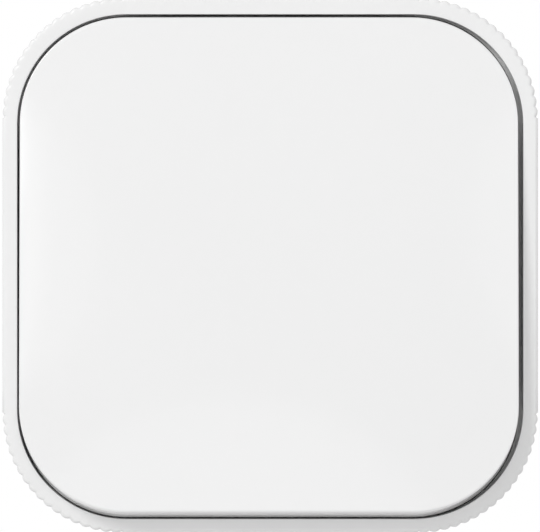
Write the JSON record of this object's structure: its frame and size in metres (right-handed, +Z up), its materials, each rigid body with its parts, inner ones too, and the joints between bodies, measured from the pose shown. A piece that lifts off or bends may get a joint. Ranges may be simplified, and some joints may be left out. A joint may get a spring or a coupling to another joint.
{
  "type": "wall switch",
  "caption": "Surface-mounted rocker wall switch: ribbed square hood round a wide rocker, over a base plate and a changeover switch insert.",
  "frame": {"origin": "centre of the base plate's back face, between the two wall screw slots", "axes": "+Y into the wall, so the front faces -Y; +Z up; +X right, seen from the front"},
  "size_m": [0.066, 0.0404, 0.066],
  "materials": {
    "hood_plastic": "glossy moulded white",
    "rocker_plastic": "high-gloss moulded white",
    "base_plastic": "satin moulded white",
    "insert_plastic": "matt moulded pale grey",
    "frame_plastic": "satin moulded grey",
    "carrier_plastic": "satin natural white",
    "plunger_plastic": "satin black",
    "zinc_steel": "zinc-plated",
    "bright_steel": "ground bright",
    "brass": "stamped, bright",
    "contact_silver": "polished silver alloy",
    "retainer_plastic": "fibre, matt"
  },
  "bodies": {
    "housing": {"base_plate": "base_plastic", "hood": "hood_plastic", "entry_slide_top": "hood_plastic", "entry_slide_bottom": "hood_plastic", "hood_screws": "zinc_steel", "screw_retainers": "retainer_plastic", "switch_insert": "insert_plastic", "bearing_frame": "frame_plastic", "insert_screws": "zinc_steel", "frame_rivets": "brass", "pivot_shaft": "bright_steel", "fixed_contacts": "contact_silver", "common_strip": "brass", "output_strip_upper": "brass", "output_strip_lower": "brass", "terminal_cages": "brass", "terminal_screws": "zinc_steel"},
    "rocker": {"rocker_cover": "rocker_plastic", "rocker_carrier": "carrier_plastic", "plunger_spring": "bright_steel"},
    "spring_pin": {"plunger": "plunger_plastic"},
    "see_saw": {"contact_blade": "brass", "moving_contacts": "contact_silver"}
  },
  "joints": [
    {"name": "rocker_tilt", "type": "hinge", "parent": "housing", "child": "rocker", "pos_m": [0, -0.033, 0], "axis": [1, 0, 0], "range_deg": [0, 8]},
    {"name": "plunger_slide", "type": "slide", "parent": "rocker", "child": "spring_pin", "axis": [0, -0.9976, 0.0698], "range_m": [0, 0.0006], "stiffness_N_per_m": 300, "springref_m": -0.004, "deforming": ["plunger_spring"]},
    {"name": "blade_rock", "type": "hinge", "parent": "housing", "child": "see_saw", "pos_m": [0, -0.0135, 0], "axis": [1, 0, 0], "range_deg": [-16, 0]}
  ],
  "couplings": [
    {"joint": "blade_rock", "follows": "rocker_tilt", "ratio": -2}
  ]
}
